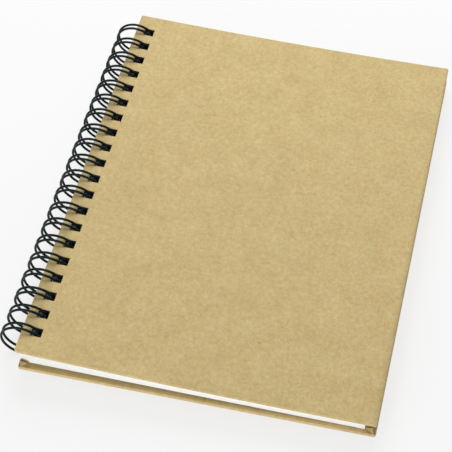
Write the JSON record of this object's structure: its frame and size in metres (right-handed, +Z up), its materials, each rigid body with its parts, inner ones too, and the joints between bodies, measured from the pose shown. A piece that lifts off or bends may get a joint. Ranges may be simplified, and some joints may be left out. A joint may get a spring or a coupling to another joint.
{
  "type": "spiral notebook",
  "caption": "Hard-cover notebook with kraft board covers, a block of white sheets and a black twin-loop wire binding along its long edge; both covers turn on the wire.",
  "frame": {"origin": "middle of the notebook's footprint, wire included, level with the lowest point of the wire", "axes": "+Z up out of the front cover, +Y towards the head of the pages, the wire on the -X side"},
  "size_m": [0.144, 0.18, 0.0174],
  "materials": {
    "kraft_board": "uncoated kraft paper over greyboard",
    "sheets": "uncoated white",
    "coated_wire": "black nylon coating, satin"
  },
  "bodies": {
    "wire_and_pages": {"twin_loop_wire": "coated_wire", "page_block": "sheets"},
    "front_cover": {"front_cover": "kraft_board"},
    "back_cover": {"back_cover": "kraft_board"}
  },
  "joints": [
    {"name": "front_cover_turn", "type": "hinge", "parent": "wire_and_pages", "child": "front_cover", "pos_m": [-0.0633, 0, 0.0087], "axis": [0, -1, 0], "range_deg": [0, 180]},
    {"name": "back_cover_turn", "type": "hinge", "parent": "wire_and_pages", "child": "back_cover", "pos_m": [-0.0633, 0, 0.0087], "axis": [0, 1, 0], "range_deg": [0, 180]}
  ]
}
